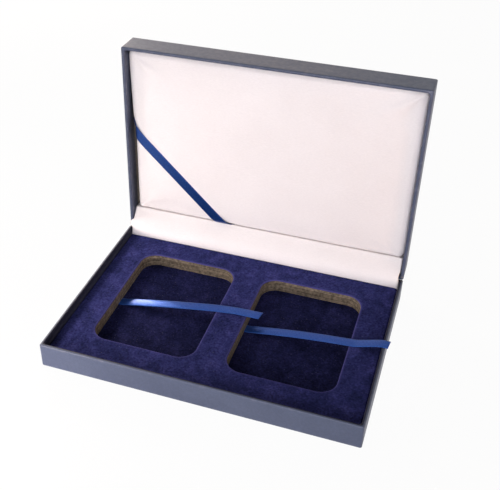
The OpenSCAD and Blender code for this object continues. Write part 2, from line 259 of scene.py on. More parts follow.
def relief(material, source, output, depth, strength=1.0, under=None):
    """A bump of this depth in metres, laid over another bump where one is given."""
    bump = add(material, "Bump", {"Distance": depth, "Strength": strength})
    wire(material, source, output, bump, "Height")
    if under:
        wire(material, under, "Normal", bump, "Normal")
    return bump


def swing_open(points, share=1.0):
    """Turns points of the shut lid back about the hinge pin, by a share of the angle it stands open at."""
    across, rise = points[..., 1] - axis_y, points[..., 2] - axis_z
    c, s = math.cos(share * open_angle), math.sin(share * open_angle)
    return np.stack([points[..., 0], axis_y + across * c + rise * s, axis_z - across * s + rise * c], -1)


def outline(half_x, half_y, radius, side_steps=36, corner_steps=8):
    """Points round rounded rectangles: a row for each station round them, a column for each rectangle.

    Each corner is a quarter circle about the point one radius inside both sides. Each side runs straight
    from corner to corner, with its stations closer together towards the ends."""
    half_x, half_y, radius = np.broadcast_arrays(*map(np.atleast_1d, (half_x, half_y, radius)))
    turn = np.linspace(0, math.pi / 2, corner_steps + 1)
    ease = 0.5 - 0.5 * np.cos(math.pi * np.arange(1, side_steps) / side_steps)
    arcs = []
    for quarter, (side_x, side_y) in enumerate(((1, 1), (-1, 1), (-1, -1), (1, -1))):
        angle = turn + quarter * math.pi / 2
        centre = np.stack([side_x * (half_x - radius), side_y * (half_y - radius)], -1)
        arcs.append(centre + radius[:, None] * np.stack([np.cos(angle), np.sin(angle)], -1)[:, None])
    stations = []
    for here, following in zip(arcs, arcs[1:] + arcs[:1]):
        stations += [here, here[-1] + ease[:, None, None] * (following[0] - here[-1])]
    return np.concatenate(stations)


def arc(centre, radius, start, end, steps=5):
    """Points of an arc about a centre, from one angle to another in degrees."""
    angle = np.radians(np.linspace(start, end, steps))
    return np.array(centre) + radius * np.stack([np.cos(angle), np.sin(angle)], -1)


def quads(rows, columns, round_rows=False):
    """Faces between neighbouring points of a grid; round_rows joins the last row to the first."""
    index = np.arange(rows * columns).reshape(rows, columns)
    if round_rows:
        index = np.vstack([index, index[:1]])
    return np.stack([index[:-1, :-1], index[1:, :-1], index[1:, 1:], index[:-1, 1:]], -1).reshape(-1, 4)


def mesh_piece(name, points, faces, material):
    """A smooth mesh object from an array of points and a list of faces."""
    mesh = bpy.data.meshes.new(name)
    mesh.from_pydata(points.reshape(-1, 3).tolist(), [], [list(map(int, face)) for face in faces])
    mesh.polygons.foreach_set("use_smooth", [True] * len(mesh.polygons))
    mesh.materials.append(material)
    piece = bpy.data.objects.new(name, mesh)
    scene.collection.objects.link(piece)
    return piece


def give(piece, attribute, values):
    """Puts one number on each point of a piece, for its material to read."""
    layer = piece.data.attributes.new(attribute, "FLOAT", "POINT")
    layer.data.foreach_set("value", np.asarray(values, np.float32).ravel())


def covering(height):
    """One tray's covering, underside down: points, faces, how far each is an edge, and what is turned in.

    A profile of inset and level runs from under the tray up the wall, over the rim and down inside, then back
    within the covering's own thickness. Every point of it is carried round a rounded rectangle that is inset
    by that much, with corners that grow a little rounder inwards. Along the back wall the rim is cut down,
    and less so past the hinge's ends, where the folds of base and lid meet. The folds count as edges, and
    those at the corners up to three times as much."""
    edge_r, rim_r, corner_r = 0.6 * mm, 0.7 * mm, 1.0 * mm
    reach, rub, slope, near = 30 * mm, 1.5 * mm, 0.8 * mm, 2.5 * mm
    lower_fold, rim_folds = slice(2, 7), slice(10, 20)
    outside = np.concatenate([
        [(reach, 0), (edge_r + rub, 0)], arc((edge_r, edge_r), edge_r, 270, 180),
        [(0, edge_r + rub), (0, height / 2), (0, height - rim_r - rub)],
        arc((rim_r, height - rim_r), rim_r, 180, 90), arc((wall_t - rim_r, height - rim_r), rim_r, 90, 0),
        [(wall_t, height - rim_r - rub), (wall_t, height - turn_in)],
    ])
    inside = np.array([
        (wall_t - wrap_t, height - turn_in), (wall_t - wrap_t, height - wrap_t), (wrap_t, height - wrap_t),
        (wrap_t, wrap_t), (reach, wrap_t),
    ])
    inset, level = np.concatenate([outside, inside]).T
    plan = outline(case_w / 2 - inset, case_d / 2 - inset, corner_r + 0.3 * inset)
    rows, columns = plan.shape[:2]
    at_back = np.clip((plan[..., 1] - rim_drop_y) / slope + 1, 0, 1)
    raised = np.clip(2 * level / height - 0.5, 0, 1)
    drop = np.where(np.abs(plan[..., 0]) > end_drop_x, end_drop, rim_drop)
    points = np.concatenate([plan, (level - drop * at_back * raised)[..., None]], -1)
    faces = quads(rows, columns, round_rows=True).tolist()
    ring = np.arange(rows) * columns
    faces += [ring[::-1].tolist(), (ring + columns - 1).tolist()]
    edge = np.zeros(columns)
    edge[lower_fold] = edge[rim_folds] = 1
    near_x, near_y = (np.clip((np.abs(plan[..., i]) - half) / near + 1.5, 0, 1)
                      for i, half in enumerate((case_w / 2, case_d / 2)))
    turned_in = np.broadcast_to((inset > wall_t / 2) & (level > height / 2), (rows, columns))
    return points, faces, edge * (1 + 2 * near_x * near_y), turned_in


def leatherette_material():
    """Grained navy leatherette: clouded, speckled and pebbled, paler at the folds, partly as wear and partly
    as painted highlight, and painted darker and less glossy where it is turned in, as painted shade.
    """
    material = new_material("leatherette", Sheen_Weight=0.03, Sheen_Roughness=0.5,
                            Sheen_Tint=(0.85, 0.88, 1.0, 1))
    tone = ramp(material, noise(material, 40, 3), "Fac",
                [(0.3, (0.039, 0.052, 0.100)), (0.7, (0.051, 0.066, 0.119))])
    speckle = ramp(material, noise(material, 1100, 2), "Fac", [(0.35, grey(0.90)), (0.65, grey(1.10))])
    grained = mixed(material, (tone, "Color"), (speckle, "Color"))
    # Paler at the folds and corners: partly wear from handling, partly a painted highlight along the rims.
    edge = add(material, "Attribute", attribute_name="edge")
    patches = ramp(material, noise(material, 260, 4), "Fac", [(0.50, grey(0.0)), (0.80, grey(0.40))])
    wear_and_highlight = add(material, "Math", operation="MULTIPLY")
    wire(material, edge, "Fac", wear_and_highlight, 0)
    wire(material, patches, "Color", wear_and_highlight, 1)
    rubbed_and_highlit = mixed(material, grained, (0.15, 0.155, 0.22), "MIX", (wear_and_highlight, 0))
    # Painted shade: where the inside mark is set, the colour is painted near black and the gloss is cut, for
    # the shadow inside the base.
    inside = add(material, "Attribute", attribute_name="inside")
    painted_inner_shade = mixed(material, rubbed_and_highlit, (0.016, 0.017, 0.034), "MIX", (inside, "Fac"))
    wire(material, *painted_inner_shade, shader_of(material), "Base Color")
    shine, shade_gloss_cut = 0.58, 0.48
    dull = add(material, "Math", {1: -shade_gloss_cut, 2: shine}, operation="MULTIPLY_ADD")
    wire(material, inside, "Fac", dull, 0)
    wire(material, dull, "Value", shader_of(material), "Specular IOR Level")
    place = add(material, "TexCoord")
    pebble = add(material, "TexVoronoi", {"Scale": 1500.0}, feature="SMOOTH_F1")
    wire(material, place, "Object", pebble, "Vector")
    grain = relief(material, pebble, "Distance", 0.03 * mm, 0.5)
    pucker = relief(material, noise(material, 38, 2), "Fac", 0.6 * mm, 0.25, grain)
    wire(material, pucker, "Normal", shader_of(material), "Normal")
    gloss = ramp(material, noise(material, 420, 3), "Fac", [(0.3, grey(0.40)), (0.7, grey(0.54))])
    wire(material, gloss, "Color", shader_of(material), "Roughness")
    return material


leatherette = leatherette_material()
for body, height in (("base", base_h), ("lid", lid_h)):
    points, faces, edge, turned_in = covering(height)
    if body == "lid":
        points[..., 2] = lid_rim_z + lid_h - points[..., 2]
        points, faces = swing_open(points), [face[::-1] for face in faces]
    wrap = mesh_piece(f"{body}_covering", points, faces, leatherette)
    # The edge mark paints the folds paler, partly as wear and partly as painted highlight.
    give(wrap, "edge", edge)
    # The inside mark is painted shade, and only the base gets it.
    give(wrap, "inside", turned_in * (body == "base"))
    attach(wrap, body)
    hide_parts(f"{body}_wrap")


# ---- board trays and cards ----
# Raw grey board is folded into the two trays, and smooth card stiffens the linings. Once the case is
# covered they hardly show, except in the gap round the lid's pad.
def board_material(name, pale, dark):
    """Pressed fibre board: two tones in fine clouds, with loose fibres standing a little proud."""
    material = new_material(name, Roughness=0.85)
    tone = ramp(material, noise(material, 700, 5, (1, 1, 3)), "Fac", [(0.3, dark), (0.7, pale)])
    wire(material, tone, "Color", shader_of(material), "Base Color")
    fibres = relief(material, noise(material, 2600, 3), "Fac", 0.05 * mm, 0.5)
    wire(material, fibres, "Normal", shader_of(material), "Normal")
    return material


def dress(nodes, material):
    """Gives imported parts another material, leaving their shape alone."""
    for name in nodes:
        part = frame["nodes"][name]
        part.data.materials.clear()
        part.data.materials.append(material)


grey_board = board_material("grey_board", (0.34, 0.31, 0.27), (0.22, 0.20, 0.17))
lining_card = board_material("lining_card", (0.42, 0.39, 0.34), (0.32, 0.29, 0.25))
dress(["base_board_tray", "lid_board_tray"], grey_board)
dress(["floor_card", "pad_card"], lining_card)


# ---- velvet on the wells' floor ----
# A sheet of navy velvet is glued to the floor card. The platform presses it flat, and in the wells it
# stays a little uneven. Its short pile lies in lighter and darker strokes.
floor_low, floor_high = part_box("floor_velvet")
well_w = 62.5 * mm
well_l = 85 * mm
well_r = 10 * mm
well_x = 40.5 * mm


def velvet_material(name, painted_light_level):
    """Short-piled navy velvet: strokes of nap, a speckle of pile, specks of lint, and at the cut edges a real
    sheen with a paler painted sheen in the colour.

    The last argument is painted light: it paints the nap darker, and gives it less sheen, for velvet that
    lies in shadow."""
    material = new_material(name, Roughness=0.95, Specular_IOR_Level=0.03, Sheen_Roughness=0.25,
                            Sheen_Tint=(0.42, 0.44, 1.0, 1))
    blues = [(0.30, (0.020, 0.024, 0.094)), (0.55, (0.035, 0.039, 0.154)), (0.75, (0.056, 0.058, 0.215))]
    strokes = ramp(material, noise(material, 110, 5, (1, 0.8, 1), 0.4), "Fac", blues)
    pile = ramp(material, noise(material, 900, 4), "Fac",
                [(0.3, grey(0.55 * painted_light_level)), (0.7, grey(1.45 * painted_light_level))])
    lint = ramp(material, noise(material, 1300, 1), "Fac", [(0.70, grey(0.0)), (0.78, grey(0.5))])
    piled = mixed(material, (strokes, "Color"), (pile, "Color"))
    napped = mixed(material, piled, (0.17, 0.17, 0.28), "MIX", (lint, "Color"))
    lip = add(material, "Attribute", attribute_name="lip")
    # Painted sheen: the colour is lighter on the lip, where the cut edge catches the light.
    lip_painted_sheen = mixed(material, napped, (0.080, 0.076, 0.260), "MIX", (lip, "Fac"))
    wire(material, *lip_painted_sheen, shader_of(material), "Base Color")
    fuzz = add(material, "Math", {1: 0.9, 2: 0.14 * painted_light_level}, operation="MULTIPLY_ADD")
    wire(material, lip, "Fac", fuzz, 0)
    wire(material, fuzz, "Value", shader_of(material), "Sheen Weight")
    tufts = relief(material, noise(material, 1900, 3), "Fac", 0.12 * mm, 0.8)
    soft = relief(material, noise(material, 130, 3), "Fac", 0.5 * mm, 0.5, tufts)
    wire(material, soft, "Normal", shader_of(material), "Normal")
    return material


def slow_noise(x, y, size, seed):
    """A smooth height from -1 to 1: the mean of a few sine waves of about this size, their headings drawn."""
    waves = 6
    draw = np.random.default_rng(seed)
    total = np.zeros(np.broadcast(x, y).shape)
    for _ in range(waves):
        heading, phase = draw.uniform(0, 2 * math.pi, 2)
        pitch = size * draw.uniform(0.7, 1.6)
        total += np.sin(2 * math.pi * (x * math.cos(heading) + y * math.sin(heading)) / pitch + phase)
    return total / waves


def cloth_strip(name, top, thickness, material):
    """A closed sheet under a grid of points: the same grid again, lowered along its normals, and a rim.

    The normal at a point is the cross product of the steps along and across the grid."""
    rows, columns = top.shape[:2]
    normal = np.cross(np.gradient(top, axis=0), np.gradient(top, axis=1))
    normal /= np.linalg.norm(normal, axis=-1, keepdims=True)
    under = rows * columns
    index = np.arange(under).reshape(rows, columns)
    border = np.concatenate([index[:-1, 0], index[-1, :-1], index[:0:-1, -1], index[0, :0:-1]])
    following = np.roll(border, -1)
    upper = quads(rows, columns)
    rim = np.stack([following, border, border + under, following + under], -1)
    faces = np.concatenate([upper, upper[:, ::-1] + under, rim])
    points = np.concatenate([top.reshape(-1, 3), (top - normal * thickness).reshape(-1, 3)])
    return mesh_piece(name, points, faces, material)


def inside_wells(x, y, margin):
    """How far inside a well a place is, from 0 at its wall to 1 a margin away from it."""
    off_x = np.abs(np.abs(x) - well_x) - (well_w / 2 - well_r)
    off_y = np.abs(y) - (well_l / 2 - well_r)
    outside = np.hypot(np.maximum(off_x, 0), np.maximum(off_y, 0)) + np.minimum(np.maximum(off_x, off_y), 0)
    return np.clip((well_r - outside) / margin, 0, 1)


floor_swell = 0.12 * mm
floor_velvet_t = floor_high.z - floor_low.z
x, y = np.meshgrid(np.linspace(floor_low.x, floor_high.x, 241), np.linspace(floor_low.y, floor_high.y, 161),
                   indexing="ij")
uneven = floor_swell * inside_wells(x, y, 6 * mm) * (1 + slow_noise(x, y, 24 * mm, seed=3))
# Painted shade: the floor's velvet is painted darker than the platform's, for the shadow in the wells.
floor_cloth = cloth_strip("floor_cloth", np.stack([x, y, floor_high.z + uneven], -1), floor_velvet_t,
                          velvet_material("floor_nap", 0.46))
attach(floor_cloth, "base")
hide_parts("floor_velvet")


# ---- platform boards ----
# Four boards are glued up and die-cut together, so that their plies show as fine lines round the wells.
# The die scuffs and browns the cut.
def layered_material():
    """The cut edge of laminated board: thin plies stacked in height, with scuffs along them."""
    material = new_material("layered_board", Roughness=0.8)
    browns = [(0.30, (0.058, 0.043, 0.028)), (0.5, (0.135, 0.104, 0.071)), (0.70, (0.240, 0.194, 0.143))]
    plies = ramp(material, noise(material, 60, 4, (0.25, 0.25, 22)), "Fac", browns)
    scuffs = ramp(material, noise(material, 650, 5, (1, 1, 0.8)), "Fac",
                  [(0.34, grey(0.45)), (0.66, grey(1.30))])
    wire(material, *mixed(material, (plies, "Color"), (scuffs, "Color")), shader_of(material), "Base Color")
    rough = relief(material, noise(material, 500, 4, (1, 1, 3)), "Fac", 0.2 * mm, 0.7)
    wire(material, rough, "Normal", shader_of(material), "Normal")
    return material


platform_boards = [f"platform_board_{i}" for i in (1, 2, 3, 4)]
dress(platform_boards, layered_material())


# ---- velvet on the platform ----
# One piece of velvet is stretched over the boards and glued down their outer edges, then cut out at the
# wells with the boards. Its cut edge rounds over, with a real sheen and a paler painted sheen along it.
platform_low, platform_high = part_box("platform_velvet")
velvet_t = 0.5 * mm
platform_top = platform_high.z
platform_mid_y = (platform_low.y + platform_high.y) / 2


def platform_half(side):
    """The velvet's upper face on one half of the platform, and how near each point is to the well's cut edge,
    as a weight for the sheen and the painted sheen there.

    Rings grow out of the well: over a quarter-round lip, across the top in even shares of the way to the
    half's own rectangle, and over a rounded edge down the side. The side where the halves meet is kept level.
    The painted sheen is strongest high on the lip."""
    lip, bend = np.linspace(0, math.pi / 2, 5), np.linspace(0, math.pi / 2, 6)
    lip_r, edge_r, corner_r, swell_h = velvet_t, 0.8 * mm, 1.0 * mm, 0.06 * mm
    lip_sheen_weights = (0.1, 0.4, 0.9, 1.0, 0.6, 0.1)
    grow = np.concatenate([lip_r * (1 - np.cos(lip)), [1.2 * mm, 2.2 * mm]])
    well = outline(well_w / 2 + grow, well_l / 2 + grow, well_r + grow, 40, 12) + [side * well_x, 0]
    skirt = np.array([2.5, 5, 8]) * mm
    inset = np.concatenate([edge_r * (1 - np.sin(bend)), 0 * skirt])
    half_w, half_d = platform_high.x / 2, (platform_high.y - platform_low.y) / 2
    edge = outline(half_w - inset, half_d - inset, corner_r - 0.5 * inset, 40, 12)
    edge += [side * half_w, platform_mid_y]
    edge[..., 0] = np.where(side * edge[..., 0] < 1.1 * corner_r, 0, edge[..., 0])
    share = np.linspace(0, 1, 26)[1:-1, None]
    field = well[:, -1:] + (edge[:, :1] - well[:, -1:]) * share
    plan = np.concatenate([well, field, edge], axis=1)
    drop = np.concatenate([lip_r * (1 - np.sin(lip)), np.zeros(2 + len(share)), edge_r * (1 - np.cos(bend)),
                           skirt])
    level_seam = (plan[..., 0] == 0) & (np.abs(plan[..., 1] - platform_mid_y) < half_d - 1.5 * corner_r)
    drop = np.where(level_seam, 0, drop)
    swell = swell_h * slow_noise(plan[..., 0], plan[..., 1], 30 * mm, seed=5) * (drop == 0)
    points = np.concatenate([plan, (platform_top - drop + swell)[..., None]], -1)
    near = np.zeros(plan.shape[1])
    near[:len(lip_sheen_weights)] = lip_sheen_weights
    return points, np.broadcast_to(near, plan.shape[:2])


def merge_points(piece, distance=1e-6):
    """Joins the points of a mesh that lie within this distance of each other."""
    soft = bmesh.new()
    soft.from_mesh(piece.data)
    bmesh.ops.remove_doubles(soft, verts=soft.verts, dist=distance)
    bmesh.ops.dissolve_degenerate(soft, edges=soft.edges, dist=distance)
    soft.to_mesh(piece.data)
    soft.free()


halves = [platform_half(side) for side in (-1, 1)]
rows, columns = halves[0][1].shape
points = np.concatenate([half[0].reshape(-1, 3) for half in halves])
faces = quads(rows, columns, round_rows=True)[:, ::-1]
faces = np.concatenate([faces, faces + rows * columns])
on_seam = (points[faces][..., 0] == 0).all(axis=1)
# The platform's velvet takes the brighter painted light level.
platform_cloth = mesh_piece("platform_cloth", points, faces[~on_seam], velvet_material("platform_nap", 1.05))
# The lip mark drives a painted sheen in the colour as well as the real sheen.
give(platform_cloth, "lip", np.concatenate([half[1].ravel() for half in halves]))
merge_points(platform_cloth)
thick = platform_cloth.modifiers.new("thickness", "SOLIDIFY")
thick.thickness = velvet_t
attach(platform_cloth, "base")
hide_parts("platform_velvet")


# ---- pull ribbons ----
# A blue satin ribbon is glued under the left edge of each well, climbs across it and lies over its right
# edge, so that a pull on the free end lifts the coin out. They are about 98 and 95 mm long.
ribbon_w = 6.3 * mm
ribbon_t = 0.3 * mm
ribbon_tail = 8 * mm
ribbon_arch = 0.35
ramp_start = 2 * mm
ribbon_floor = floor_high.z + 0.05 * mm
ribbon_over = platform_top + 0.2 * mm
rim_over = base_h + 0.25 * mm
left_free = 26.5 * mm
right_start_x = well_x - well_w / 2
right_rim = case_w / 2 - wall_t - right_start_x
right_end = case_w / 2 + 1.9 * mm - right_start_x


def ribbon_material(name, painted_light_level):
    """Woven satin ribbon: fine ribs across it and a blue gloss that spreads across the threads.

    The last argument is painted light: it paints the blue and its coat darker for ribbon that is less lit."""
    material = new_material(name, Metallic=0.6, Roughness=0.30, Anisotropic=0.4, Anisotropic_Rotation=0.25,
                            Specular_IOR_Level=0.25, Coat_Weight=0.22 * painted_light_level, Coat_Roughness=0.20)
    weave = add(material, "UVMap", uv_map="weave")
    along = add(material, "Mapping", {"Scale": (4200, 500, 1)})
    threads = add(material, "TexNoise", {"Scale": 1.0, "Detail": 2.0})
    wire(material, weave, "UV", along, "Vector")
    wire(material, along, "Vector", threads, "Vector")
    tone = ramp(material, threads, "Fac", [(0.3, (0.009, 0.047, 0.240)), (0.7, (0.021, 0.092, 0.385))])
    wire(material, *mixed(material, (tone, "Color"), grey(painted_light_level)), shader_of(material), "Base Color")
    ribs = add(material, "TexWave", {"Scale": 380.0, "Distortion": 0.6}, wave_type="BANDS",
               bands_direction="X")
    wire(material, weave, "UV", ribs, "Vector")
    woven = relief(material, ribs, "Fac", 0.05 * mm, 0.8)
    fine = relief(material, threads, "Fac", 0.02 * mm, 0.6, woven)
    wire(material, fine, "Normal", shader_of(material), "Normal")
    tangent = add(material, "Tangent", direction_type="UV_MAP", uv_map="weave")
    wire(material, tangent, "Tangent", shader_of(material), "Tangent")
    return material


def soft_run(knots, step, softness):
    """Distances and heights along straight stretches between knots, each height averaged over a short way."""
    distance = np.arange(knots[0][0], knots[-1][0] + step / 2, step)
    height = np.interp(distance, *np.transpose(knots))
    reach = round(softness / step / 2)
    window = np.pad(height, reach, mode="edge")
    return distance, np.convolve(window, np.full(2 * reach + 1, 1 / (2 * reach + 1)), "valid")


def lay_uv(piece, along, across):
    """The map that the weave follows: metres along and across the strip, the same on both of its faces."""
    place = np.stack([along.ravel(), across.ravel()], -1)
    place = np.concatenate([place, place])
    corner = np.empty(len(piece.data.loops), np.int32)
    piece.data.loops.foreach_get("vertex_index", corner)
    layer = piece.data.uv_layers.new(name="weave")
    layer.data.foreach_set("uv", place[corner].astype(np.float32).ravel())


def pull_ribbon(name, knots, origin, yaw, slant, sway):
    """A flat ribbon along a run of distance and height from its well's left wall.

    The strip is the run times its width: each line across is level but for a slight cup, the run sways a
    little to the side, its last stretch is sheared to a slanting cut, and the whole is turned by its yaw."""
    cup_depth, last_stretch = 0.18 * mm, 12 * mm
    distance, height = soft_run(knots, step=0.5 * mm, softness=3 * mm)
    across = np.linspace(-0.5, 0.5, 15) * ribbon_w
    s, c = np.meshgrid(distance, across, indexing="ij")
    near_end = np.clip((s - distance[-1]) / last_stretch + 1, 0, 1)
    cup = -cup_depth * (2 * c / ribbon_w) ** 2
    flat_x = s + slant * c * near_end
    flat_y = c + sway * np.sin(math.pi * s / distance[-1])
    top = np.stack([origin[0] + flat_x * math.cos(yaw) - flat_y * math.sin(yaw),
                    origin[1] + flat_x * math.sin(yaw) + flat_y * math.cos(yaw),
                    height[:, None] + ribbon_t + cup], -1)
    ribbon = cloth_strip(name, top, ribbon_t, ribbon_blue)
    lay_uv(ribbon, s, c)
    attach(ribbon, "base")
    return ribbon


ribbon_blue = ribbon_material("blue_ribbon", 1.0)
climb_t = np.linspace(0, 1, 30)
arched = climb_t + ribbon_arch * climb_t * (1 - climb_t)
climb = np.stack([ramp_start + (well_w - ramp_start) * climb_t,
                  ribbon_floor + (ribbon_over - ribbon_floor) * arched], -1)
tail = [(-ribbon_tail, ribbon_floor)]
left_over = [(well_w + 12 * mm, ribbon_over + 0.5 * mm), (well_w + left_free, ribbon_over - 0.4 * mm)]
right_over = [(well_w + 3 * mm, ribbon_over + ribbon_t), (right_rim - 1 * mm, rim_over),
              (right_end, rim_over)]
left_run = np.concatenate([tail, climb, left_over])
right_run = np.concatenate([tail, climb, right_over])
left_ribbon = pull_ribbon("left_pull_ribbon", left_run, (-well_x - well_w / 2, 0), yaw=math.radians(4.2),
                          slant=0.25, sway=-0.4 * mm)
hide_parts("pull_ribbon_left")
right_ribbon = pull_ribbon("right_pull_ribbon", right_run, (right_start_x, 1.5 * mm), yaw=math.radians(-0.8),
                           slant=0.1, sway=0.3 * mm)
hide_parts("pull_ribbon_right")
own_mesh(right_ribbon)


# ---- hinge ----
# A strip hinge of plated steel joins the two back walls: two leaves with knuckles rolled round one pin,
# riveted through the board before the trays are covered.
def steel_material():
    """Plated steel, brushed along the strip, with a faint cloud of tarnish."""
    material = new_material("hinge_steel", Metallic=1.0)
    tone = ramp(material, noise(material, 180, 4), "Fac",
                [(0.3, (0.46, 0.45, 0.42)), (0.7, (0.62, 0.61, 0.58))])
    wire(material, tone, "Color", shader_of(material), "Base Color")
    brushed = noise(material, 900, 3, (0.05, 1, 1))
    gloss = ramp(material, brushed, "Fac", [(0.3, grey(0.26)), (0.7, grey(0.42))])
    wire(material, gloss, "Color", shader_of(material), "Roughness")
    scratches = relief(material, brushed, "Fac", 0.01 * mm, 0.4)
    wire(material, scratches, "Normal", shader_of(material), "Normal")
    return material


dress(["base_hinge_leaf", "base_hinge_rivets", "hinge_pin", "lid_hinge_leaf", "lid_hinge_rivets"],
      steel_material())


# ---- padded panel in the lid ----
# White satin is drawn over wadding on a card and glued in the lid. The pad stands a little below the rim,
# with soft edges, and the certificate ribbon pinches it at its left side and foot.
pad_edge_r = 4 * mm
pad_card_t = 1.5 * mm
satin_t = 0.3 * mm
ribbon_slope = math.radians(44)
ribbon_foot = 62 * mm
ribbon_reach = ribbon_foot * math.sin(ribbon_slope)
pinch_depth, pinch_reach = 0.5 * mm, 4.5 * mm
furrow_depth, furrow_half, furrow_rise = 0.15 * mm, 3.4 * mm, 0.35
pad_swell = 0.12 * mm
pad_clear = 0.9 * mm


def points_of(mesh):
    """The points of a mesh as rows of an array."""
    flat = np.empty(len(mesh.vertices) * 3, np.float32)
    mesh.vertices.foreach_get("co", flat)
    return flat.reshape(-1, 3).astype(float)


pad_shut = swing_open(points_of(frame["nodes"]["pad_satin"].data), -1.0)
pad_low, pad_high = pad_shut.min(axis=0), pad_shut.max(axis=0)
pad_half = (pad_high - pad_low) / 2
pad_mid = (pad_high + pad_low) / 2


def satin_material():
    """White satin: a very fine weave with long floats, faint uneven tension and a soft sheen."""
    material = new_material("white_satin", Roughness=0.42, Specular_IOR_Level=0.45, Sheen_Weight=0.3,
                            Sheen_Roughness=0.45, Sheen_Tint=(1.0, 0.96, 0.93, 1))
    tone = ramp(material, noise(material, 24, 4), "Fac",
                [(0.3, (0.850, 0.812, 0.808)), (0.7, (0.890, 0.858, 0.856))])
    threads = noise(material, 2600, 2, (0.25, 1, 1))
    weft = ramp(material, threads, "Fac", [(0.3, grey(0.965)), (0.7, grey(1.02))])
    wire(material, *mixed(material, (tone, "Color"), (weft, "Color")), shader_of(material), "Base Color")
    woven = relief(material, threads, "Fac", 0.02 * mm, 0.5)
    tension = relief(material, noise(material, 65, 3, (1, 1, 0.5)), "Fac", 0.5 * mm, 0.3, woven)
    wire(material, tension, "Normal", shader_of(material), "Normal")
    return material


def from_ribbon_line(x, y):
    """The distance of a place on the shut pad from the middle line of the certificate ribbon."""
    c, s = math.cos(ribbon_slope), math.sin(ribbon_slope)
    return (y - pad_high[1]) * c - (x - pad_low[0]) * s + ribbon_reach


def pad_shape():
    """The pad with the lid shut, as points and faces: a level face, soft edges, sides and a card's seat.

    The face is a grid of eased steps each way. Round it, rings fall away on a quarter circle, run up the side
    to the lid's ceiling and turn in round the card. Rings and grid share their border points."""
    steps = 56
    bend = np.linspace(0, math.pi / 2, 7)
    inset = np.concatenate([pad_edge_r * (1 - np.sin(bend)), np.zeros(5), [satin_t, satin_t]])
    sides = np.linspace(pad_low[2] + pad_edge_r, pad_high[2], 6)[1:]
    level = np.concatenate([pad_low[2] + pad_edge_r * (1 - np.cos(bend)), sides,
                            [pad_high[2], pad_high[2] - pad_card_t]])
    rings = outline(pad_half[0] - inset, pad_half[1] - inset, np.maximum(pad_edge_r - inset, 0), steps, 6)
    rings = np.concatenate([rings + pad_mid[:2], np.broadcast_to(level, rings.shape[:2])[..., None]], -1)
    ease = -np.cos(math.pi * np.arange(steps + 1) / steps)
    x, y = np.meshgrid(pad_mid[0] + (pad_half[0] - pad_edge_r) * ease,
                       pad_mid[1] + (pad_half[1] - pad_edge_r) * ease, indexing="ij")
    face = np.stack([x, y, np.full(x.shape, pad_low[2])], -1)
    stations, count = rings.shape[:2]
    faces = quads(stations, count, round_rows=True).tolist()
    faces.append((np.arange(stations) * count + count - 1).tolist())
    faces += (quads(*x.shape)[:, ::-1] + stations * count).tolist()
    return np.concatenate([rings.reshape(-1, 3), face.reshape(-1, 3)]), faces


def pulled(shut):
    """Moves points of the shut pad sideways, as the satin is drawn: most at a side, and none well inside.

    The right and far sides swell almost to the lid's walls. The left side does so only at its far end: from
    there it narrows towards the ribbon, which draws it in, and it stays in down to the foot."""
    swell, inwards, upwards = 0.7 * mm, 9 * mm, 4 * mm
    moved = shut.copy()
    x, y, z = np.moveaxis(shut, -1, 0)
    loose = np.clip((pad_high[2] - pad_card_t - z) / upwards, 0, 1)
    at_left, at_right, at_far = (loose * np.clip(1 - past / inwards, 0, 1) ** 2
                                 for past in (x - pad_low[0], pad_high[0] - x, y - pad_low[1]))
    tied = pad_high[1] - ribbon_reach / math.cos(ribbon_slope)
    stations = [pad_low[1], pad_low[1] + 12 * mm, tied - 8 * mm, tied - 1 * mm, pad_high[1]]
    moved[..., 0] += at_left * np.interp(y, stations, np.array([-0.8, -0.75, 0.2, 1.8, 1.6]) * mm)
    moved[..., 0] += swell * at_right
    moved[..., 1] -= swell * at_far
    return moved


def inflate(piece, pinned, most, pressure):
    """Blows a closed piece up as cloth for a few frames, holds its pinned points and caps every movement.

    A movement m is cut to m * most / (m + most), so that it nears the cap smoothly."""
    before = points_of(piece.data)
    group = piece.vertex_groups.new(name="held")
    group.add(np.flatnonzero(pinned).tolist(), 1.0, "REPLACE")
    cloth = piece.modifiers.new("cloth", "CLOTH")
    settings = cloth.settings
    settings.quality = 6
    settings.mass = 0.2
    settings.tension_stiffness = settings.compression_stiffness = 25
    settings.shear_stiffness = 10
    settings.bending_stiffness = 2
    settings.use_pressure = True
    settings.uniform_pressure_force = pressure
    settings.effector_weights.gravity = 0
    settings.vertex_group_mass = "held"
    cloth.collision_settings.use_collision = False
    last_frame = 20
    cloth.point_cache.frame_start, cloth.point_cache.frame_end = 1, last_frame
    for number in range(1, last_frame + 1):
        scene.frame_set(number)
    blown = piece.evaluated_get(bpy.context.evaluated_depsgraph_get())
    move = points_of(blown.data) - before
    piece.modifiers.remove(cloth)
    piece.vertex_groups.clear()
    scene.frame_set(1)
    size = np.linalg.norm(move, axis=-1, keepdims=True)
    after = before + move * most / (size + most)
    piece.data.vertices.foreach_set("co", after.astype(np.float32).ravel())


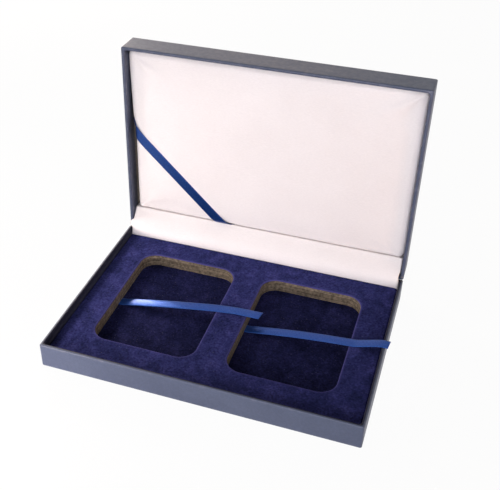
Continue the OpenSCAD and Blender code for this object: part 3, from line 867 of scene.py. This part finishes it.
satin = satin_material()
pad = mesh_piece("pad", *pad_shape(), satin)
merge_points(pad)
shut = points_of(pad.data)
inflate(pad, shut[:, 2] > pad_low[2] + pad_edge_r + 1 * mm, most=1.6 * mm, pressure=4.0)
shut = points_of(pad.data)
facing = np.clip((pad_low[2] + 2 * pad_edge_r - shut[:, 2]) / pad_edge_r, 0, 1)
off_line = from_ribbon_line(shut[:, 0], shut[:, 1])
pinch = np.exp(-((off_line / pinch_reach) ** 2))
uneven = slow_noise(shut[:, 0], shut[:, 1], 45 * mm, seed=8)
shut[:, 2] += facing * (pinch_depth * pinch + pad_swell * uneven)
beside = np.maximum(np.abs(off_line) - furrow_half, 0)
furrow = np.where(facing > 0, pad_low[2] + furrow_depth - furrow_rise * beside, -1)
shut[:, 2] = np.maximum(shut[:, 2], furrow)
shut = pulled(shut)
shut[:, :2] = np.clip(shut[:, :2], pad_low[:2] - pad_clear, pad_high[:2] + [pad_clear, 0])
pad.data.vertices.foreach_set("co", swing_open(shut).astype(np.float32).ravel())
finer = pad.modifiers.new("finer", "SUBSURF")
finer.levels = finer.render_levels = 1
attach(pad, "lid")
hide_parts("pad_satin", "pad_foam")


# ---- certificate ribbon ----
# The same blue ribbon crosses the pad's lower left corner to hold a folded certificate. Both of its ends
# run round the pad's edges and are tucked down between the pad and the lid's walls.
certificate_tuck = 3 * mm
certificate_off = 0.35 * mm


def round_edge(past):
    """Wraps a flat place round the pad's soft edge: how far out it lies, and how far down.

    past is the distance beyond the start of the curve. It becomes an angle on a quarter circle, and what is
    left over runs straight down the side."""
    angle = np.clip(past / pad_edge_r, 0, math.pi / 2)
    over = np.maximum(past - pad_edge_r * math.pi / 2, 0)
    radius = pad_edge_r + certificate_off
    return np.where(past > 0, radius * np.sin(angle), past), radius * (1 - np.cos(angle)) + over


c, s = math.cos(ribbon_slope), math.sin(ribbon_slope)
middle = np.array([pad_low[0], pad_high[1]]) + ribbon_reach * np.array([s, -c])
wrap_s = (pad_edge_r * (math.pi / 2 - 1) + certificate_tuck) / c
along, across = np.meshgrid(
    np.linspace((pad_low[0] - middle[0]) / c - wrap_s, (pad_high[1] - middle[1]) / s + wrap_s, 150),
    np.linspace(0.5, -0.5, 15) * ribbon_w, indexing="ij")
left_out, left_down = round_edge(pad_low[0] + pad_edge_r - (middle[0] + along * c - across * s))
foot_out, foot_down = round_edge(middle[1] + along * s + across * c - (pad_high[1] - pad_edge_r))
band_top = np.stack([pad_low[0] + pad_edge_r - left_out, pad_high[1] - pad_edge_r + foot_out,
                     pad_low[2] - certificate_off + left_down + foot_down], -1)
# Painted shade: the certificate ribbon's copy of the blue is painted darker than the pull ribbons'.
band = cloth_strip("certificate_band", swing_open(pulled(band_top)), ribbon_t,
                   ribbon_material("certificate_blue", 0.62))
lay_uv(band, along, across)
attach(band, "lid")
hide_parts("certificate_ribbon")


# ---- lining over the hinge ----
# A strip of the same satin hides the hinge. It is tucked in behind the platform, rises in a soft curve and
# is tucked in below the pad. Its left end widens into a small ear over the rim at the hinge, while its
# right end draws in there a little.
lining_foot = np.array([platform_high.y + 0.15 * mm, platform_top])
lining_tuck_down = 6 * mm
lining_tuck_up = 4 * mm
lining_half = case_w / 2 - wall_t - 0.5 * mm
lining_wave = 0.5 * mm
ear_left = 2.1 * mm
ear_right = -0.5 * mm
ear_z = base_h + 2.4 * mm
ear_half_h = 2.0 * mm


def lid_point(shut_y, shut_z):
    """Where a point of the shut lid stands when the lid is open, as distances back and up."""
    return swing_open(np.array([0, shut_y, shut_z]))[1:]


def bezier(knots, t):
    """A cubic curve by four points, for every share t of the way."""
    a, b, c, d = (np.array(knot) for knot in knots)
    t = t[:, None]
    return a * (1 - t) ** 3 + 3 * b * t * (1 - t) ** 2 + 3 * c * t**2 * (1 - t) + d * t**3


tuck_r = pad_edge_r + 0.12 * mm
tuck_knots = [lid_point(pad_high[1] - pad_edge_r + tuck_r * math.sin(angle), pad_low[2] + pad_edge_r
                        - tuck_r * math.cos(angle)) for angle in np.radians([66, 72, 78, 84, 90])]
lining_head = tuck_knots[0]
lining_end = lid_point(pad_high[1] - pad_edge_r + tuck_r, pad_low[2] + pad_edge_r + lining_tuck_up)
curve_t = np.linspace(0, 1, 25)
curve = bezier([lining_foot, lining_foot + [-0.55 * mm, 5 * mm], lining_head + [-3.5 * mm, -5 * mm],
                lining_head], curve_t)
tuck = np.linspace(0, 1, 5)[:, None]
below = lining_foot + [0, -lining_tuck_down] * (1 - tuck[:-1])
above = np.concatenate([tuck_knots[1:], tuck_knots[-1] + (lining_end - tuck_knots[-1]) * tuck[1:]])
run = np.concatenate([below, curve, above])
t = np.concatenate([np.zeros(len(below)), curve_t, np.ones(len(above))])
ear = np.exp(-(((run[:, 1] - ear_z) / ear_half_h) ** 4))
share, between = np.meshgrid(np.linspace(-1, 1, 181), np.sin(math.pi * t), indexing="ij")
x = share * lining_half + np.where(share < 0, -ear_left, ear_right) * np.abs(share) ** 30 * ear
fold = between * lining_wave * slow_noise(x, 0 * x, 26 * mm, seed=11)
lining = cloth_strip("lining", np.stack([x, run[:, 0] - fold, run[:, 1] + 0 * x], -1), satin_t, satin)
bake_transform(lining)
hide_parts("hinge_lining")
